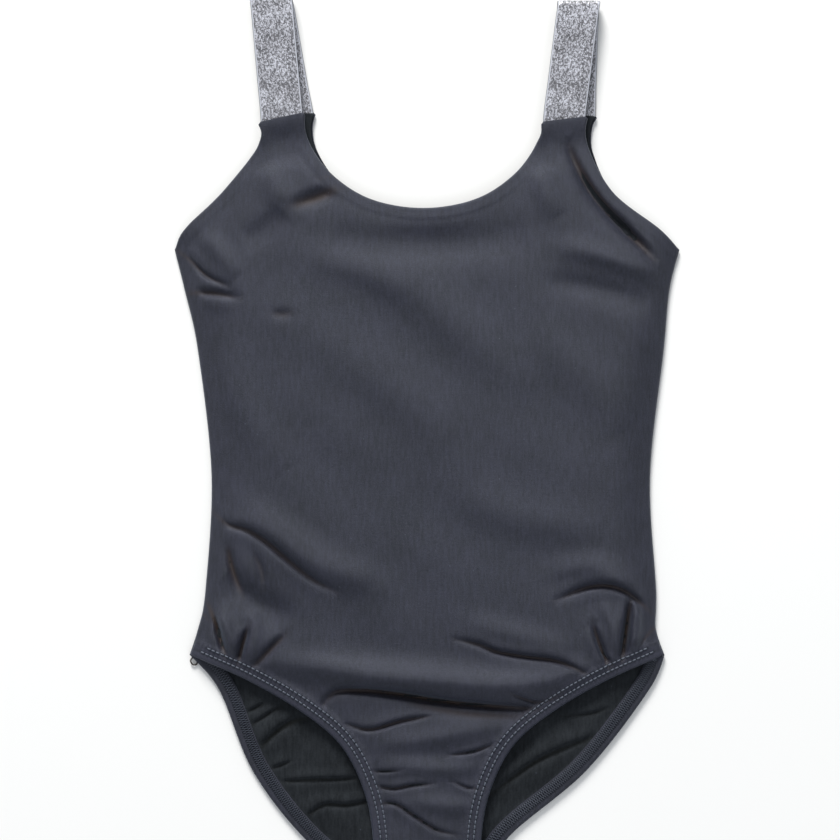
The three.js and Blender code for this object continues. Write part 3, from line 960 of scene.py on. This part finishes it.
for side in ("right", "left"):
    for name, row in (("outer", NEEDLE_ROWS[0]), ("inner", NEEDLE_ROWS[1])):
        stitches = needle_row(f"leg_stitches_{name}_{side}_front", front, f"leg_{side}", row,
                              top_of_front, STITCH_RISE)
        finish_piece(stitches, thread, "thread", "torso", f"leg_needle_thread_{name}_{side}")
        stitches = needle_row(f"leg_stitches_{name}_{side}_back", back, f"leg_{side}", row,
                              bottom_of_back, -STITCH_RISE)
        finish_piece(stitches, thread, "thread", "torso")
    looper = looper_run(f"leg_looper_{side}_back", back, f"leg_{side}", inside_of_back, STITCH_RISE)
    finish_piece(looper, thread, "thread", "torso", f"leg_looper_thread_{side}")
    looper = looper_run(f"leg_looper_{side}_front", front, f"leg_{side}", inside_of_front, -STITCH_RISE)
    finish_piece(looper, thread, "thread", "torso")

# ---------------------------------------------------------------------------
# Shoulder straps. Each is one length of flat silver glitter elastic, folded
# over, with its two ends sewn between shell and lining in the tabs.
# ---------------------------------------------------------------------------
STRAP = 1.1
STRAP_STEP = 0.8
STRAP_COLUMNS = 30
SELVEDGE = 1.2
STRAP_TOP_HEIGHT = 9.0
STRAP_MARGIN = 2.0
# A strap end narrows over a short length, which starts this far above or below the mouth.
NARROWS_FROM = {"front": -3.5, "back": 0.5}
NARROWS_OVER = 2.5


def strap_route(side):
    """The middle of a strap, from its front end, up over the fold, to its back end."""
    ends = {face: [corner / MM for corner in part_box(f"strap_end_{side}_{face}")]
            for face in ("front", "back")}
    loop_low, loop_high = (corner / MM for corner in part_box(f"strap_{side}"))
    half = (ends["front"][1].x - ends["front"][0].x) / 2
    front_x = ends["front"][1].x - half
    back_x, back_foot_x = ends["back"][1].x - half, ends["back"][0].x + half
    fold_x = loop_low.x + half if front_x < 0 else loop_high.x - half
    tail, mouth, fold = ends["front"][0].y, ends["front"][1].y, loop_high.y
    front_z = lie_of_front(np.array([[front_x, mouth - 1], [front_x, tail]]))
    back_z = lie_of_back(np.array([[back_x, mouth - 1], [back_foot_x, tail]]))
    radius = (STRAP_TOP_HEIGHT - back_z[0]) / 2
    route = [(front_x, tail, front_z[1]), (front_x, mouth, front_z[0])]
    for share in (0.3, 0.6, 0.85):
        route.append((front_x + (fold_x - front_x) * share, mouth + (fold - mouth) * share,
                      front_z[0] + (STRAP_TOP_HEIGHT - front_z[0]) * smooth(share)))
    for angle in np.radians([60, 20, -20, -60]):
        route.append((fold_x, fold - radius + radius * np.cos(angle),
                      back_z[0] + radius + radius * np.sin(angle)))
    for share in (0.85, 0.6, 0.3):
        route.append((back_x + (fold_x - back_x) * share, mouth + (fold - mouth) * share, back_z[0]))
    route += [(back_x, mouth, back_z[0]), (back_foot_x, tail, back_z[1])]
    return evenly(np.array(route), STRAP_STEP), half, mouth


def inside_of_tab(piece, side, centre, half):
    """The middle and half the width of a strap end, where its tab is narrower than the strap."""
    edges = []
    for name in (f"armhole_{side}", "neck"):
        line = piece.lines[name]
        line = line[(line[:, 0] * centre[0] > 0) & (line[:, 1] > centre[1] - 20)]
        edges.append(line[np.argmin(abs(line[:, 1] - centre[1])), 0])
    left = max(centre[0] - half, min(edges) + STRAP_MARGIN)
    right = min(centre[0] + half, max(edges) - STRAP_MARGIN)
    return (left + right) / 2, (right - left) / 2


def make_strap(side):
    route, half, mouth = strap_route(side)
    along = np.gradient(route, axis=0)
    along[:, 0] = 0
    along /= np.linalg.norm(along, axis=1)[:, None]
    upward = np.cross((1.0, 0, 0), along)
    across = np.linspace(-1, 1, STRAP_COLUMNS)
    from_edge = (1 - abs(across)) * half
    thick = np.where(from_edge < SELVEDGE, 0.8, 1.0) * STRAP / 2 * roll(from_edge + 0.35)
    section = np.concatenate([across, across[::-1]])
    lift = np.concatenate([thick, -thick[::-1]])
    around = len(section)
    places, faces = [], []
    for i, (centre, up) in enumerate(zip(route, upward)):
        face, piece = ("front", front) if i < len(route) / 2 else ("back", back)
        start = mouth + NARROWS_FROM[face]
        reach = half
        if centre[1] < start:
            sewn = smooth((start - centre[1]) / NARROWS_OVER)
            middle, narrow = inside_of_tab(piece, side, centre, half)
            centre = centre + ((middle - centre[0]) * sewn, 0, 0)
            reach += (narrow - half) * sewn
        places.extend(centre + np.outer(section * reach, (1, 0, 0)) + np.outer(lift, up))
    for i in range(len(route) - 1):
        for j in range(around):
            a, b = i * around + j, i * around + (j + 1) % around
            faces.append((a, b, b + around, a + around))
    faces.append(tuple(range(around))[::-1])
    last = (len(route) - 1) * around
    faces.append(tuple(range(last, last + around)))
    strap = cloth_object(f"glitter_strap_{side}", places, faces)
    length = np.concatenate([[0], np.cumsum(np.linalg.norm(np.diff(route, axis=0), axis=1))])
    layer = strap.data.uv_layers.new(name="length and width")
    for loop in strap.data.loops:
        row, column = divmod(loop.vertex_index, around)
        layer.data[loop.index].uv = (length[row] * MM, section[column] * half * MM)
    return strap, route, mouth, half


def glitter_material():
    """Flat elastic woven through with silver film yarn, between two plain selvedges."""
    material, surface = principled("silver glitter elastic", (0.3, 0.3, 0.32), 0.38)
    nodes, link = material.node_tree.nodes, material.node_tree.links.new
    place = add(nodes, "ShaderNodeUVMap", uv_map="length and width")
    turned = add(nodes, "ShaderNodeMapping", Rotation=(0, 0, 0.6), Scale=(1.0, 1.35, 1.0))
    link(place.outputs["UV"], turned.inputs["Vector"])
    flake = add(nodes, "ShaderNodeTexVoronoi", Scale=1250.0, Randomness=1.0)
    link(turned.outputs["Vector"], flake.inputs["Vector"])
    cloud = add(nodes, "ShaderNodeTexNoise", Scale=520.0, Detail=3.0, Roughness=0.75)
    link(turned.outputs["Vector"], cloud.inputs["Vector"])
    channel = nodes.new("ShaderNodeSeparateColor")
    link(flake.outputs["Color"], channel.inputs["Color"])
    shine = scaled_sum(nodes, link, cloud.outputs["Fac"], 0.8, channel.outputs["Red"])
    # Painted sheen: broad lighter and darker patches along the strap, in place of its uneven highlights.
    painted_sheen_patches = add(nodes, "ShaderNodeTexNoise", Scale=55.0, Detail=1.0)
    link(turned.outputs["Vector"], painted_sheen_patches.inputs["Vector"])
    uneven = scaled_sum(nodes, link, painted_sheen_patches.outputs["Fac"], 0.7, shine)
    spread = add(nodes, "ShaderNodeMapRange", From_Min=0.45, From_Max=1.75)
    link(uneven, spread.inputs["Value"])
    ramp = nodes.new("ShaderNodeValToRGB")
    dark, bright = ramp.color_ramp.elements
    dark.color, bright.color = (0.022, 0.022, 0.027, 1), (0.66, 0.67, 0.74, 1)
    ramp.color_ramp.elements.new(0.5).color = (0.15, 0.15, 0.165, 1)
    link(spread.outputs["Result"], ramp.inputs["Fac"])
    across = nodes.new("ShaderNodeSeparateXYZ")
    link(place.outputs["UV"], across.inputs["Vector"])
    width = add(nodes, "ShaderNodeMath", operation="ABSOLUTE")
    link(across.outputs["Y"], width.inputs[0])
    plain = add(nodes, "ShaderNodeMapRange", From_Min=0.0115, From_Max=0.01175)
    # Painted shadow: the outermost rim on either side is tinted dark, as a thin shadow line along the
    # strap.
    edge = add(nodes, "ShaderNodeMapRange", From_Min=0.0121, From_Max=0.0124)
    link(width.outputs[0], plain.inputs["Value"])
    link(width.outputs[0], edge.inputs["Value"])
    with_plain = tinted(nodes, link, ramp.outputs["Color"], (0.52, 0.54, 0.6), plain.outputs["Result"])
    with_rim_shadow = tinted(nodes, link, with_plain, (0.09, 0.09, 0.1), edge.outputs["Result"])
    link(with_rim_shadow, surface.inputs["Base Color"])
    metal = add(nodes, "ShaderNodeMapRange", From_Min=0.5, To_Min=0.0, To_Max=0.5)
    link(spread.outputs["Result"], metal.inputs["Value"])
    link(metal.outputs["Result"], surface.inputs["Metallic"])
    bump = add(nodes, "ShaderNodeBump", Strength=0.35, Distance=0.0003)
    link(channel.outputs["Green"], bump.inputs["Height"])
    link(bump.outputs["Normal"], surface.inputs["Normal"])
    return material


glitter = glitter_material()

for side in ("right", "left"):
    strap, route, mouth, half = make_strap(side)
    finish_piece(strap, glitter, "strap_elastic", None, f"strap_{side}", f"strap_end_{side}_front",
                 f"strap_end_{side}_back")
    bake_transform(strap)

# ---------------------------------------------------------------------------
# Loose thread end. A short tail of overlock thread, left in a small loop at
# the foot of the right side seam.
# ---------------------------------------------------------------------------
TAIL_RADIUS = 0.45
TAIL_STEP = 0.4
TAIL_HEIGHT = 2.6
TAIL_FALL = 0.26

low, high = (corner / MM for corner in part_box("thread_end"))
span = high - low
curl = [(0.6, 0.9), (0.25, 0.75), (0.0, 0.3), (-0.35, 0.2),
        (-0.65, -0.1), (-0.5, -0.45), (-0.1, -0.5), (0.1, -0.2)]
tail = [(low.x + span.x * u, low.y + span.y * v, TAIL_HEIGHT - TAIL_FALL * i)
        for i, (u, v) in enumerate(curl)]
thread_tail = tubes("thread_tail", [evenly(np.array(tail), TAIL_STEP)], TAIL_RADIUS)
dark_thread, _ = principled("dark overlock thread", (0.03, 0.024, 0.021), 0.7)
finish_piece(thread_tail, dark_thread, "thread", "torso", "thread_end")
